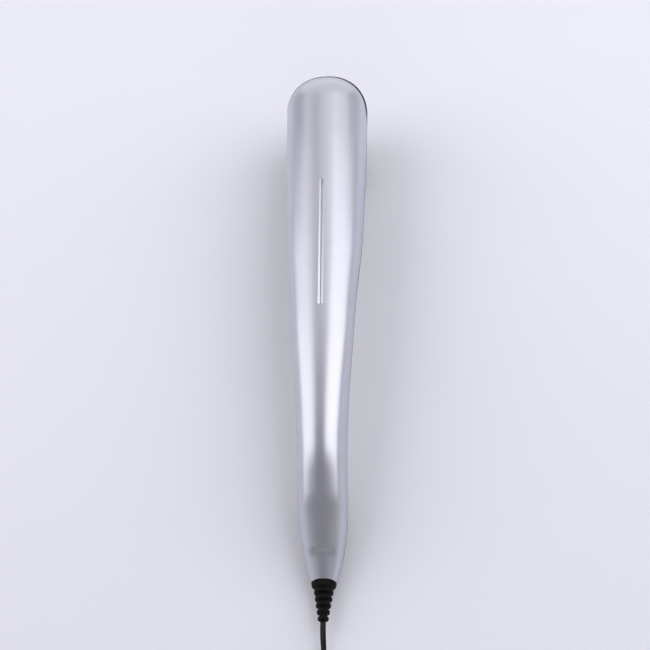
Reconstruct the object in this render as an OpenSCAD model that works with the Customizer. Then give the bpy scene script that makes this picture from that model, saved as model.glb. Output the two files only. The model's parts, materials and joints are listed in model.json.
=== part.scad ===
// Massage hammer with one percussion head, lying on its massage pad and on the
// end of its handle, with the silver back facing up. Millimetres.
// +Z is up, +Y points to the head and +X is to the right of the handle.
// The origin is under the middle of the housing, on the surface it lies on.

/* [Housing] */
// Length of the housing from the cord end to the tip of the head
body_len = 390; // [380:1:400]
// Width of the head
head_w = 59.4; // [58.4:0.2:62]
// Depth of the head from its back to its underside
head_d = 52; // [51:0.5:54]
// Height of the middle of the head above the surface it lies on
head_mid = 53; // [52.5:0.5:54]
// Length of the rounded tip of the head
tip_len = 29; // [28:0.5:30]
// Width of the handle at its waist
waist_w = 33.8; // [33:0.2:36]
// Depth of the handle at its waist
waist_d = 36; // [35:0.5:38]
// Height of the middle of the handle at its waist
waist_mid = 36; // [35.5:0.5:37]
// Diameter of the collar round the strain relief
collar_d = 16.8; // [16.4:0.2:17.6]
// Thickness of the housing's wall
wall = 2.4; // [2.2:0.1:2.6]
// How far the front shell climbs round the tip of the head
tip_rise = 22; // [18:0.5:23]

/* [Channel in the back] */
// Distance from the tip of the head to the far end of the channel
channel_inset = 105; // [104:1:110]
// Length of the channel
channel_len = 102; // [92:1:108]
// Width of the channel at its near end
channel_w_near = 5.2; // [4.5:0.1:6]
// Width of the channel at its far end
channel_w_far = 3.8; // [3:0.1:4.4]
// Depth of the channel
channel_depth = 1.7; // [1.2:0.1:2]

/* [Percussion head] */
// Distance of the massage head's axis from the tip of the housing
head_inset = 36; // [35:0.5:37]
// Diameter of the massage head
pad_d = 48; // [46:0.5:50]
// Height of the massage head
pad_h = 18; // [17.5:0.1:18]
// Stroke of the massage head
stroke = 3; // [2.4:0.2:3]
// Diameter of the plunger
plunger_d = 9; // [8.5:0.1:9.4]
// Distance between the two eyes of the connecting rod
rod_len = 11; // [10.8:0.1:11.2]
// Number of knobs round the massage pad
knob_count = 8; // [6:1:9]

/* [Motor] */
// Diameter of the motor
motor_d = 33; // [32:0.1:33.4]
// Length of the motor
motor_len = 50; // [47:0.5:51]
// Diameter of the motor shaft
shaft_d = 3.17; // [3:0.01:3.3]

/* [Control panel] */
// Distance of the middle of the panel from the tip of the head
panel_inset = 190; // [187:1:193]
// Length of the panel
panel_len = 64; // [63:1:66]
// Width of the panel
panel_w = 20; // [19.5:0.5:21]
// Thickness of the panel
panel_t = 1.6; // [1.4:0.1:1.8]
// Diameter of the power button
power_d = 12.4; // [11:0.1:12.6]
// Diameter of the two speed buttons
speed_d = 10.4; // [9:0.1:10.6]
// Travel of the buttons
key_travel = 0.7; // [0.5:0.1:0.7]

/* [Strain relief and lead] */
// Length of the strain relief outside the housing
relief_len = 26.3; // [26:0.1:26.6]
// Diameter of the strain relief's flange
relief_d = 16.2; // [15:0.2:16.4]
// Width of the flat two-core lead
lead_w = 3.8; // [3.6:0.1:4]
// Thickness of the flat two-core lead
lead_t = 1.9; // [1.8:0.1:2]

/* [Power adapter] */
// Length of the adapter
adapter_len = 62; // [58:1:66]
// Width of the adapter
adapter_w = 38; // [36:1:42]
// Thickness of the adapter
adapter_t = 27; // [25:1:30]
// Diameter of the mains pins
pin_d = 4; // [4:0.1:4.8]
// Length of the mains pins
pin_len = 19; // [18:0.5:19]
// Distance between the mains pins
pin_pitch = 19; // [18:0.5:20]

/* [Fits] */
// Radial clearance of running and sliding fits
run_fit = 0.04; // [0.02:0.01:0.08]
// Clearance between pieces that sit in one another
seat_fit = 0.05; // [0.03:0.01:0.1]
// Gap between moving pieces and what they pass
free_gap = 0.3; // [0.25:0.05:0.35]

/* [Hidden] */
$fn = 48;

// Lengths along the handle are s: 0 at the cord end and body_len at the tip
function at(s) = s - body_len / 2;
function mix(a, b, t) = a + (b - a) * t;
function ease(t) = let (c = max(0, min(1, t))) c * c * (3 - 2 * c);

collar_r = collar_d / 2;
collar_lift = 0.4;
collar_mid = collar_r + collar_lift;
waist_s = 80;
tip_s = body_len - tip_len;
panel_s = body_len - panel_inset;
channel_s = body_len - channel_inset - channel_len;
waist_bot = waist_mid - waist_d / 2;
waist_top = waist_mid + waist_d / 2;
head_bot = head_mid - head_d / 2;
head_top = head_mid + head_d / 2;

// Stations of the housing: place, half width, height of the middle, top, underside.
// The first rows flare from the collar to the waist, with a small step where the
// back meets the collar's cone, and the others swell to the head.
function flare(s, kw, km, kt, kb) = [
    s, mix(collar_r, waist_w / 2, kw), mix(collar_mid, waist_mid, km),
    mix(collar_mid + collar_r, waist_top, kt), mix(0, waist_bot, kb)
];
function swell(k, kw, km, kt, kb) = [
    mix(waist_s, tip_s, k), mix(waist_w, head_w, kw) / 2, mix(waist_mid, head_mid, km),
    mix(waist_top, head_top, kt), mix(waist_bot, head_bot, kb)
];
stations = [
    flare(0, 0, 0, 0, collar_lift / waist_bot),
    flare(11, 0.365, 0.063, 0.125, 0.006),
    flare(15.5, 0.483, 0.108, 0.18, 0.002),
    flare(18.5, 0.56, 0.14, 0.237, 0),
    flare(21.5, 0.632, 0.173, 0.275, 0),
    flare(35, 0.867, 0.34, 0.46, 0.055),
    flare(51, 0.979, 0.6, 0.69, 0.31),
    flare(waist_s, 1, 1, 1, 1),
    swell(0.15, 0.115, 0.48, 0.26, 0.83),
    swell(0.29, 0.312, 0.75, 0.42, 1.22),
    swell(0.43, 0.495, 0.86, 0.54, 1.33),
    swell(0.57, 0.753, 0.87, 0.66, 1.22),
    swell(0.72, 0.879, 0.88, 0.79, 1.06),
    swell(0.86, 0.968, 0.93, 0.91, 0.98),
    swell(1, 1, 1, 1, 1)
];
last_seg = len(stations) - 2;
function seg_of(s, i = 0) = (i >= last_seg || s < stations[i + 1][0]) ? i : seg_of(s, i + 1);
function grade(i, k) =
    let (a = max(0, i - 1), b = min(last_seg + 1, i + 1))
    i > last_seg ? 0 : (stations[b][k] - stations[a][k]) / (stations[b][0] - stations[a][0]);
// One measure of the housing at s, on a smooth curve through the stations
function along(s, k) =
    let (
        i = seg_of(s),
        d = stations[i + 1][0] - stations[i][0],
        t = max(0, min(1, (s - stations[i][0]) / d))
    )
    stations[i][k] * (2 * t ^ 3 - 3 * t ^ 2 + 1) + grade(i, k) * d * (t ^ 3 - 2 * t ^ 2 + t)
    + stations[i + 1][k] * (3 * t ^ 2 - 2 * t ^ 3) + grade(i + 1, k) * d * (t ^ 3 - t ^ 2);

// How far the round tip has closed at s, for a skin that lies inset from the outside
tip_power = 2.1;
function closing(s, inset) =
    s <= tip_s ? 1 : (1 - ((s - tip_s) / (tip_len - inset)) ^ tip_power) ^ (1 / tip_power);
function mid_z(s) = along(s, 2);
function half_w(s, inset = 0) = (along(s, 1) - inset) * closing(s, inset);
function rise(s, inset = 0) = (along(s, 3) - mid_z(s) - inset) * closing(s, inset);
function drop(s, inset = 0) = (mid_z(s) - along(s, 4) - inset) * closing(s, inset);

// The section is a little squarer than an ellipse
section_power = 2.2;
function bulge(v) = sign(v) * abs(v) ^ (2 / section_power);
function section_pt(s, inset, a) = [
    half_w(s, inset) * bulge(cos(a)),
    mid_z(s) + (sin(a) >= 0 ? rise(s, inset) : drop(s, inset)) * bulge(sin(a))
];
function flank(s, x, inset) =
    (1 - (abs(x) / half_w(s, inset)) ^ section_power) ^ (1 / section_power);
function roof_z(s, x = 0, inset = 0) = mid_z(s) + rise(s, inset) * flank(s, x, inset);
function floor_z(s, x = 0, inset = 0) = mid_z(s) - drop(s, inset) * flank(s, x, inset);

// Skin of the housing, inset from the outside, between two angles of its section
module skin(inset, from = 0, to = 360) {
    side = 12;
    whole = to - from == 360;
    angles = [for (a = [from:side:whole ? to - side : to]) a];
    sides = len(angles);
    places = concat(
        [for (s = [0:4:12]) max(s, inset)],
        [for (s = [14:1.5:20]) s],
        [for (s = [24:4:36]) s],
        [for (k = [0:16]) mix(40, tip_s, k / 16)],
        [for (a = [16:13:81]) tip_s + (tip_len - inset) * sin(a)]
    );
    rings = len(places);
    pts = [for (s = places) for (a = angles)
        let (p = section_pt(s, inset, a)) [p[0], at(s), p[1]]];
    walls = [for (j = [0:rings - 2]) for (k = [0:sides - 1])
        let (a = j * sides + k, b = j * sides + (k + 1) % sides)
        each [[a, b + sides, a + sides], [a, b, b + sides]]];
    ends = [
        [for (k = [sides - 1:-1:0]) k],
        [for (k = [0:sides - 1]) (rings - 1) * sides + k]
    ];
    polyhedron(pts, concat(walls, ends), convexity = 6);
}

// Height of the parting line, which climbs round the tip of the head
parting_drop = 0.6;
rise_start = 12;
rise_power = 0.8;
function parting_z(s) =
    mid_z(s) - parting_drop * ease(s / 40) * (1 - ease((s - tip_s + 20) / 20))
    + tip_rise * ease((s - tip_s + rise_start) / (tip_len + rise_start)) ^ rise_power;
module above_parting() {
    margin = 5;
    line = [for (k = [0:40]) let (s = mix(0, body_len, k / 40)) [at(s), parting_z(s)]];
    rotate([90, 0, 90])
        linear_extrude(2 * head_w, center = true)
            polygon(concat(
                [[at(-margin), 2 * head_top], [at(-margin), parting_z(0)]], line,
                [[at(body_len + margin), parting_z(body_len)], [at(body_len + margin), 2 * head_top]]
            ));
}

// Frame-shaped stiffening rib across the inside of the housing
rib_t = 1.6;
rib_spots = [44, panel_s - 96, panel_s + 48];
module rib(s) {
    deep = wall + 3.5;
    translate([0, at(s) + rib_t / 2, 0])
        rotate([90, 0, 0])
            linear_extrude(rib_t)
                difference() {
                    polygon([for (a = [0:15:345]) section_pt(s, wall / 2, a)]);
                    polygon([for (a = [0:15:345]) section_pt(s, deep, a)]);
                }
}

// Cylinder along Y and cylinder along Z, both placed by their first face
module bar_y(s, z, r, len, x = 0) {
    translate([x, at(s), z]) rotate([-90, 0, 0]) cylinder(r = r, h = len);
}
module bar_z(s, z, r, len, x = 0) {
    translate([x, at(s), z]) cylinder(r = r, h = len);
}
module block(s, len, x, w, z, h) {
    translate([x - w / 2, at(s), z]) cube([w, len, h]);
}

// Percussion mechanism: heights and places
head_s = body_len - head_inset;
shaft_z = head_mid;
crank_e = stroke / 2;
crank_z = shaft_z + crank_e;
wrist_z = crank_z - rod_len;
wrist_r = 1.5;
eye_wall = 1.3;
slot_half_w = wrist_r + crank_e + 0.2;
slot_half_h = wrist_r + stroke + 0.2;
rod_t = 5;
rod_play = 0.4;
ear_t = 2.4;
ear_half_w = 4;
fork_floor = wrist_z - slot_half_h - eye_wall - stroke - free_gap;
fork_base = fork_floor - 2.2;
neck_gap = 1.2;
neck_z = pad_h + neck_gap;
neck_r = 17;
neck_floor_t = 2.4;
seal_r = 10.2;
seal_z = neck_z + 0.7;
seal_t = 1.6;
tower_r = 12.5;
tower_z = neck_z + neck_floor_t + seat_fit;
bush_r = 6.5;
bush_top = fork_base - stroke - free_gap;
tower_bore = 7.2;
weight_r = 13;
deck_t = 3;
deck_top = shaft_z - weight_r - 1;
deck_z = deck_top - deck_t;
plunger_r = plunger_d / 2;
stub_r = 3.5;
stub_z = 8;
shoulder_z = 14;

// Motor: places along the handle
motor_r = motor_d / 2;
mount_s = head_s - 23;
mount_t = 3;
motor_s = mount_s - motor_len;
can_t = 1.2;
shaft_r = shaft_d / 2;
bush_boss_r = 6.5;
bush_boss_len = 4.5;
mount_pcd = 25;
hub_s = mount_s + 6;
hub_r = 5.5;
hub_len = 14;
weight_s = hub_s + 3;
weight_t = 6.5;
rod_s = head_s - rod_t / 2;
pin_r = 2;
bearing_r = 5;
damper_t = 1.5;
damper_s = max(motor_s + 4, channel_s + channel_len + 3.5);
damper_len = 8;
damper_rib_t = 4;

// Screws of the housing: place and sideways distance from the middle
tail_screw_s = 58;
mid_screw_s = panel_s - 62;
neck_screw_s = head_s - 96;
side_screw_s = head_s - 42;
side_screw_x = 21.4;
screw_spots = [
    [tail_screw_s, 0], [mid_screw_s, 0], [neck_screw_s, 0],
    [side_screw_s, side_screw_x], [side_screw_s, -side_screw_x]
];
screw_r = 1.5;
screw_head_r = 2.8;
screw_head_t = 2.2;
screw_grip = 8;
boss_r = 3.3;
collar_boss_r = 4.6;
function head_seat(p) = floor_z(p[0], abs(p[1])) + 3;
chassis_near = 16;
chassis_near_x = 10.5;
chassis_far = 14;
chassis_far_x = 11.5;
chassis_spots = [for (x = [1, -1]) each [
    [head_s - chassis_near, x * chassis_near_x], [head_s + chassis_far, x * chassis_far_x]
]];

// Control panel: a frame of its own, tilted to the underside of the handle.
// Its +z points into the housing and its zero is the face the panel is glued to.
land_t = 1.6;
land_z = (floor_z(panel_s - 30) + floor_z(panel_s + 30)) / 2 + 0.9;
panel_tilt = atan2(floor_z(panel_s + 30) - floor_z(panel_s - 30), 60);
plinth_edge = 2;
plinth_z = -1;
power_y = panel_len / 2 - 13.8;
slower_y = 13.5 - panel_len / 2;
faster_y = slower_y + speed_d + 3.2;
lights_y = (power_y - power_d / 2 + faster_y + speed_d / 2) / 2;
light_pitch = 5;
light_r = 1.4;
key_proud = 0.9;
key_lip = 1.2;
key_lip_t = 1;
key_lip_z = land_t + 0.15;
stem_z = 3.9;
switch_z = stem_z + key_travel + 0.15;
board_z = switch_z + 4.2;
board_t = 1.6;
board_w = 26;
board_len = panel_len + 2;
board_post_y = board_len / 2 - 3.5;
board_post_r = 3;
cap_y = board_len / 2 - 19;
led_t = 1;
module on_panel() {
    translate([0, at(panel_s), land_z]) rotate([panel_tilt, 0, 0]) children();
}
function panel_pt(x, y, z) = [
    x,
    at(panel_s) + y * cos(panel_tilt) - z * sin(panel_tilt),
    land_z + y * sin(panel_tilt) + z * cos(panel_tilt)
];
module stadium(w, l) {
    square([w, l - w], center = true);
    for (y = [-1, 1]) translate([0, y * (l - w) / 2]) circle(d = w);
}
module slab(z0, z1) {
    translate([0, 0, z0]) linear_extrude(z1 - z0) children();
}

// Tube along a list of points, with a flat or round outline and a turn at each point
function unit(v) = v / norm(v);
function outline(w, t, sides) =
    sides == 6
    ? [[w, 0], [w - t, t], [t - w, t], [-w, 0], [t - w, -t], [w - t, -t]] / 2
    : [for (k = [0:sides - 1]) let (a = (k + 0.5) * 360 / sides)
        [w * cos(a), t * sin(a)] / (2 * cos(180 / sides))];
module swept(path, shape, turns) {
    n = len(path);
    m = len(shape);
    pts = [for (i = [0:n - 1])
        let (
            ahead = unit(path[min(n - 1, i + 1)] - path[max(0, i - 1)]),
            side = unit(cross(ahead, [0, 0, 1])),
            up = cross(side, ahead),
            c = cos(turns[i]),
            s = sin(turns[i])
        )
        for (p = shape) path[i] + side * (p[0] * c - p[1] * s) + up * (p[0] * s + p[1] * c)];
    walls = [for (i = [0:n - 2]) for (k = [0:m - 1])
        let (a = i * m + k, b = i * m + (k + 1) % m)
        each [[a, b, b + m], [a, b + m, a + m]]];
    ends = [[for (k = [m - 1:-1:0]) k], [for (k = [0:m - 1]) (n - 1) * m + k]];
    polyhedron(pts, concat(walls, ends), convexity = 8);
}
// Points on a smooth curve through hand-chosen ones
function smooth(p, steps) = concat(
    [for (i = [0:len(p) - 2]) for (k = [0:steps - 1])
        let (
            a = p[max(0, i - 1)], b = p[i], c = p[i + 1], d = p[min(len(p) - 1, i + 2)],
            t = k / steps
        )
        (2 * b + (c - a) * t + (2 * a - 5 * b + 4 * c - d) * t ^ 2
        + (3 * b - a - 3 * c + d) * t ^ 3) / 2],
    [p[len(p) - 1]]
);
module wire(path, r) {
    route = smooth(path, 4);
    swept(route, outline(2 * r, 2 * r, 8), [for (p = route) 0]);
}

// Cord: route of the free stretch and of the end at the adapter, with its turn
cord_z = collar_mid;
exit_y = at(0) - relief_len;
cord_route = [
    [0, exit_y, cord_z], [0, -227, 8.6], [0.1, -233, 7.4], [0.3, -239, 5.1], [0.5, -245, 3.1],
    [0.8, -252, 2.1], [1.2, -260, 1.7], [1.2, -268, 1.3], [0.8, -276, 1], [0.2, -284, 1],
    [0, -292, 1], [0, -300, 1]
];
cord_turn = [0, 6, 20, 38, 55, 64, 58, 40, 20, 6, 0, 0];
coil_x = -27;
coil_y = -300;
coil_r = 27;
coil_pitch = 4.3;
layer_turns = 2.5;
layers = 4;
layer_rise = 2.4;
coil_rings = 24;
end_z = 1 + (layers - 1) * layer_rise;
end_route = [[0, -300, end_z], [0, -304, end_z], [0, -312, 8.1], [0, -322, 8.2], [0, -332, 8.6],
    [0, -342, 8.9], [0, -352, 9], [0, -360, 9], [0, -364, 9]];

// Centre of the coil's tube after so many turns; it climbs where the spiral reverses
function coil_pt(turn) =
    let (
        layer = min(layers - 1, floor(turn / layer_turns)),
        into = turn - layer * layer_turns,
        inward = layer % 2 == 0,
        r = coil_r - coil_pitch * (inward ? into : layer_turns - into),
        climbs = [for (k = [1:layers - 1]) ease((turn - k * layer_turns) * 2 + 0.5)],
        z = 1 + layer_rise * sum_of(climbs)
    )
    [coil_x + r * cos(360 * turn), coil_y - r * sin(360 * turn), z];
function sum_of(v, i = 0) = i >= len(v) ? 0 : v[i] + sum_of(v, i + 1);
coil_path = [for (k = [0:layers * layer_turns * coil_rings]) coil_pt(k / coil_rings)];
// Gap between two places on the coil, for a flat lead that lies level
function lead_gap(p, q) =
    let (c = [coil_x, coil_y], flat = lead_w - lead_t)
    let (dr = abs(norm([p[0], p[1]] - c) - norm([q[0], q[1]] - c)), dz = p[2] - q[2])
    norm([max(0, dr - flat), dz]) - lead_t;
function least_gap() = min([for (i = [0:len(coil_path) - 1])
    for (j = [i + coil_rings:coil_rings:len(coil_path) - 1]) lead_gap(coil_path[i], coil_path[j])]);
function path_len(p, i = 0) = i >= len(p) - 1 ? 0 : norm(p[i + 1] - p[i]) + path_len(p, i + 1);

adapter_relief_len = 16;
adapter_y = end_route[len(end_route) - 1][1] - adapter_relief_len;

module channel_cut() {
    far = channel_s + channel_len;
    reach = channel_w_far / 2;
    intersection() {
        translate([0, 0, shaft_z])
            linear_extrude(head_top)
                polygon(concat(
                    [[channel_w_near / 2, at(channel_s)]],
                    [for (a = [0:20:180]) [reach * cos(a), at(far - reach) + reach * sin(a)]],
                    [[-channel_w_near / 2, at(channel_s)]]
                ));
        channel_side(channel_depth, 3);
    }
}
// Band that follows the back at a depth, seen from the side
module channel_side(deep, over) {
    places = [for (k = [0:8]) mix(channel_s - over, channel_s + channel_len + over, k / 8)];
    rotate([90, 0, 90])
        linear_extrude(head_w / 2, center = true)
            polygon(concat(
                [for (s = places) [at(s), roof_z(s) - deep]],
                [[at(places[8]), 2 * head_top], [at(places[0]), 2 * head_top]]
            ));
}

module rear_shell() {
    color([0.72, 0.72, 0.76])
    difference() {
        intersection() {
            skin(0, -24, 204);
            above_parting();
            union() {
                difference() {
                    block(-5, body_len + 10, 0, 2 * head_w, 0, 2 * head_top);
                    skin(wall, -24, 204);
                }
                channel_backing();
                for (s = rib_spots) rib(s);
                damper_rib();
                for (p = screw_spots) bar_z(p[0], parting_z(p[0]) - 1, boss_r, head_d, p[1]);
            }
        }
        channel_cut();
        relief_hole();
        damper_seat();
        for (p = screw_spots)
            bar_z(p[0], parting_z(p[0]) - 1, screw_r + seat_fit, screw_grip + 3, p[1]);
    }
}
// Inner strip that keeps the wall whole under the channel
module channel_backing() {
    w = channel_w_near + 2 * wall;
    intersection() {
        difference() {
            channel_side(channel_depth + wall, 2);
            channel_side(channel_depth / 2, 3);
        }
        block(channel_s - 2, channel_len + 4, 0, w, shaft_z, head_d);
    }
}
module damper_rib() {
    mid = damper_s + damper_len / 2;
    translate([0, at(mid) + damper_rib_t / 2, 0])
        rotate([90, 0, 0])
            linear_extrude(damper_rib_t)
                polygon([for (a = [0:15:345]) section_pt(mid, wall / 2, a)]);
}
// Room for the damper, in its ribs and where it comes near the wall
module damper_seat() {
    bar_y(damper_s - 1, shaft_z, motor_r + damper_t + seat_fit, damper_len + 2);
}
module relief_hole() {
    bar_y(-1, cord_z, relief_neck_r + seat_fit, wall + 2);
}

// Neck round the plunger, with a floor that holds the seal
neck_flare = 4.5;
neck_reach = 11;
function neck_profile(inset) = [for (k = [0:6])
    let (z = mix(neck_z + 0.8, neck_z + neck_reach, k / 6))
    [neck_r - inset + neck_flare * (k / 6) ^ 2, z]];
module neck_outside() {
    translate([0, at(head_s), 0])
        rotate_extrude($fn = 72)
            polygon(concat(
                [[0, neck_z], [neck_r - 0.7, neck_z]], neck_profile(0),
                [[neck_r + neck_flare, shaft_z - crank_e], [0, shaft_z - crank_e]]
            ));
}
module neck_inside() {
    inner = [for (p = neck_profile(wall)) if (p[1] > neck_z + neck_floor_t) p];
    translate([0, at(head_s), 0])
        rotate_extrude($fn = 72)
            polygon(concat(
                [[0, neck_z + neck_floor_t], [inner[0][0] - 0.4, neck_z + neck_floor_t]], inner,
                [[neck_r + neck_flare - wall, shaft_z], [0, shaft_z]]
            ));
}
// Short tabs inside the front shell that guide the rear one home
tab_spots = [74, panel_s - 80, panel_s + 36, body_len - 52];
module tabs() {
    for (s = tab_spots) for (side = [-1, 1]) {
        x = half_w(s, wall);
        z = parting_z(s);
        block(s, 7, side * (x - 0.1), 2.8, z - 6, 5.6);
        block(s, 7, side * (x - 1.1), 0.8, z - 6, 8.4);
    }
}
module front_shell() {
    color([0.1, 0.1, 0.11])
    difference() {
        intersection() {
            union() {
                skin(0);
                neck_outside();
                on_panel() slab(plinth_z, board_z / 2)
                    stadium(panel_w + 2 * plinth_edge, panel_len + 2 * plinth_edge);
            }
            union() {
                difference() {
                    block(-5, body_len + 10, 0, 2 * head_w, -5, 2 * head_top);
                    skin(wall);
                    neck_inside();
                    above_parting();
                }
                difference() {
                    union() {
                        for (s = rib_spots) rib(s);
                        damper_rib();
                        for (p = screw_spots) screw_boss(p);
                    }
                    above_parting();
                }
                for (p = chassis_spots) post(p[0], p[1], boss_r, deck_z - seat_fit);
                for (x = clamp_x) post(clamp_s, x, clamp_boss_r, clamp_z - seat_fit);
                on_panel() panel_land();
                tabs();
            }
        }
        relief_hole();
        damper_seat();
        bar_z(head_s, neck_z - 1, seal_r - 1.2, neck_floor_t);
        bar_z(head_s, seal_z, seal_r + seat_fit, neck_floor_t);
        on_panel() panel_holes();
        for (p = screw_spots) {
            low = floor_z(p[0]) - 2;
            bar_z(p[0], low, screw_head_r + free_gap, head_seat(p) - low, p[1]);
            bar_z(p[0], head_seat(p) - 1, screw_r + 0.2, parting_z(p[0]) - head_seat(p) + 2, p[1]);
        }
        for (p = chassis_spots) bar_z(p[0], deck_z - 6, screw_r + seat_fit, 7, p[1]);
        for (x = clamp_x) bar_z(clamp_s, clamp_z - 5, clamp_screw_r + seat_fit, 6, x);
    }
}
// Post that stands on the floor of the front shell
module post(s, x, r, top) {
    low = floor_z(s, abs(x) - r);
    bar_z(s, low, r, top - low, x);
}
module screw_boss(p) {
    post(p[0], p[1], collar_boss_r, head_seat(p) + 2);
    post(p[0], p[1], boss_r, parting_z(p[0]) + 1);
}
// Seat of the panel, its posts for the board and everything cut through it
module panel_land() {
    slab(0, land_t) stadium(panel_w + 2, panel_len + 2);
    for (y = [-1, 1]) translate([0, y * board_post_y, 0])
        cylinder(r = board_post_r, h = board_z - seat_fit);
}
module panel_holes() {
    slab(-4, 0) stadium(panel_w + 2 * seat_fit, panel_len + 2 * seat_fit);
    slab(land_t, land_t + 4) stadium(panel_w - 3, panel_len - 12);
    key_holes(land_t + 1);
    for (y = [-1, 1]) translate([0, y * board_post_y, board_z - 6]) cylinder(r = 1.2 + seat_fit, h = 7);
}
module key_holes(high) {
    translate([0, power_y, -4]) cylinder(r = power_d / 2 + free_gap, h = high + 4);
    for (y = [faster_y, slower_y]) translate([0, y, -4]) cylinder(r = speed_d / 2 + free_gap, h = high + 4);
    for (x = [-1, 0, 1]) translate([x * light_pitch, lights_y, -4])
        cylinder(r = light_r + seat_fit, h = high + 4);
}
module housing_screws() {
    color([0.55, 0.55, 0.58])
    for (p = screw_spots) {
        seat = head_seat(p);
        difference() {
            union() {
                bar_z(p[0], seat - screw_head_t, screw_head_r, screw_head_t, p[1]);
                bar_z(p[0], seat - 0.5, screw_r, parting_z(p[0]) + screw_grip - seat + 0.5, p[1]);
            }
            drive_recess(p[0], p[1], seat - screw_head_t, 1);
        }
    }
}
// Cross recess of a screw, open downwards or upwards
module drive_recess(s, x, z, up) {
    translate([x, at(s), z]) for (a = [0, 90]) rotate([0, 0, a])
        translate([-1.5, -0.35, up > 0 ? -0.1 : -1.1]) cube([3, 0.7, 1.2]);
}

pad_r = pad_d / 2;
pad_face = 2.5;
pad_floor = 6;
pad_lip = 12;
core_r = pad_r - 2.4 - seat_fit;
knob_r = 4.5;
knob_z = 4;
knob_ring = pad_r - 10;
module massage_pad() {
    color([0.13, 0.13, 0.14])
    translate([0, at(head_s), 0]) {
        rotate_extrude($fn = 72)
            polygon(concat(
                [[0, pad_face], [pad_r - 5, pad_face]],
                [for (a = [-72:18:0]) [pad_r - 5 + 5 * cos(a), pad_face + 5 + 5 * sin(a)]],
                [[pad_r, pad_lip], [core_r + seat_fit, pad_lip], [core_r + seat_fit, pad_floor],
                    [0, pad_floor]]
            ));
        intersection() {
            union() {
                translate([0, 0, knob_z]) sphere(r = knob_r);
                for (k = [0:knob_count - 1]) rotate([0, 0, 360 * k / knob_count])
                    translate([knob_ring, 0, knob_z]) sphere(r = knob_r);
            }
            cylinder(r = pad_r, h = pad_face + 1);
        }
    }
}
module massage_core() {
    hub = 7.5;
    low = pad_lip + seat_fit;
    color([0.16, 0.16, 0.17])
    translate([0, at(head_s), 0])
    difference() {
        union() {
            rotate_extrude($fn = 72)
                polygon([
                    [0, stub_z], [hub, stub_z], [hub, pad_h - 2.4], [pad_r - 14, pad_h - 2.4],
                    [core_r - 2, pad_lip + 1.6], [core_r - 2, pad_floor + 0.1], [core_r, pad_floor + 0.1],
                    [core_r, low], [pad_r, low], [pad_r, low + 1.5], [pad_r - 3, pad_h - 2],
                    [pad_r - 14, pad_h], [0, pad_h]
                ]);
            for (a = [0:45:315]) rotate([0, 0, a]) translate([hub - 1, -0.8, pad_floor + 0.1])
                cube([core_r - hub, 1.6, pad_lip - pad_floor + 1.6]);
        }
        translate([0, 0, stub_z - 1]) cylinder(r = stub_r + seat_fit, h = pad_h);
        translate([0, 0, shoulder_z]) cylinder(r = plunger_r + seat_fit, h = pad_h);
    }
}
module core_screw() {
    color([0.6, 0.6, 0.62])
    difference() {
        union() {
            bar_z(head_s, stub_z - 1.8 - seat_fit, 4.6, 1.8);
            bar_z(head_s, stub_z - 1, screw_r, 6);
        }
        drive_recess(head_s, 0, stub_z - 1.8 - seat_fit, 1);
    }
}
module plunger() {
    depth = rod_t + 2 * rod_play + 2 * ear_t;
    top = wrist_z + wrist_r + 1.7;
    color([0.68, 0.69, 0.72])
    difference() {
        union() {
            bar_z(head_s, stub_z, stub_r, shoulder_z - stub_z + 1);
            bar_z(head_s, shoulder_z, plunger_r, fork_base - shoulder_z + 1);
            block(head_s - depth / 2, depth, 0, 2 * ear_half_w, fork_base, top - ear_half_w - fork_base);
            bar_y(head_s - depth / 2, top - ear_half_w, ear_half_w, depth);
        }
        block(rod_s - rod_play, rod_t + 2 * rod_play, 0, 3 * ear_half_w, fork_floor, head_d / 2);
        bar_y(head_s - depth, wrist_z, wrist_r + seat_fit, 2 * depth);
        bar_z(head_s, stub_z - 1, screw_r + seat_fit, 7);
    }
}
module wrist_pin() {
    depth = rod_t + 2 * rod_play + 2 * ear_t;
    color([0.75, 0.76, 0.78]) bar_y(head_s - depth / 2, wrist_z, wrist_r, depth);
}
module neck_seal() {
    color([0.12, 0.12, 0.12])
    translate([0, at(head_s), seal_z + seat_fit])
        rotate_extrude()
            polygon([
                [plunger_r + run_fit, 0], [plunger_r + 1.2, 0.5], [seal_r, 0.2], [seal_r, seal_t],
                [plunger_r + 2, seal_t], [plunger_r + run_fit, 0.9]
            ]);
}
module guide_bush() {
    color([0.72, 0.58, 0.33])
    translate([0, at(head_s), tower_z])
        rotate_extrude()
            polygon([
                [plunger_r + run_fit, 0.4], [plunger_r + 0.5, 0], [bush_r, 0], [bush_r, bush_top - tower_z],
                [plunger_r + 0.5, bush_top - tower_z], [plunger_r + run_fit, bush_top - tower_z - 0.4]
            ]);
}
module connecting_rod() {
    eye_r = bearing_r + 2.8;
    color([0.2, 0.2, 0.21])
    difference() {
        union() {
            bar_y(rod_s, crank_z, eye_r, rod_t);
            for (dz = [-1, 1]) bar_y(rod_s, wrist_z + dz * (slot_half_h - slot_half_w),
                slot_half_w + eye_wall, rod_t);
            block(rod_s, rod_t, 0, 2 * (slot_half_w + eye_wall), wrist_z - slot_half_h + slot_half_w,
                2 * (slot_half_h - slot_half_w) + 1);
        }
        bar_y(rod_s - 1, crank_z, bearing_r + seat_fit, rod_t + 2);
        for (dz = [-1, 1]) bar_y(rod_s - 1, wrist_z + dz * (slot_half_h - slot_half_w),
            slot_half_w, rod_t + 2);
        block(rod_s - 1, rod_t + 2, 0, 2 * slot_half_w, wrist_z - slot_half_h + slot_half_w,
            2 * (slot_half_h - slot_half_w));
    }
}
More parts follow.
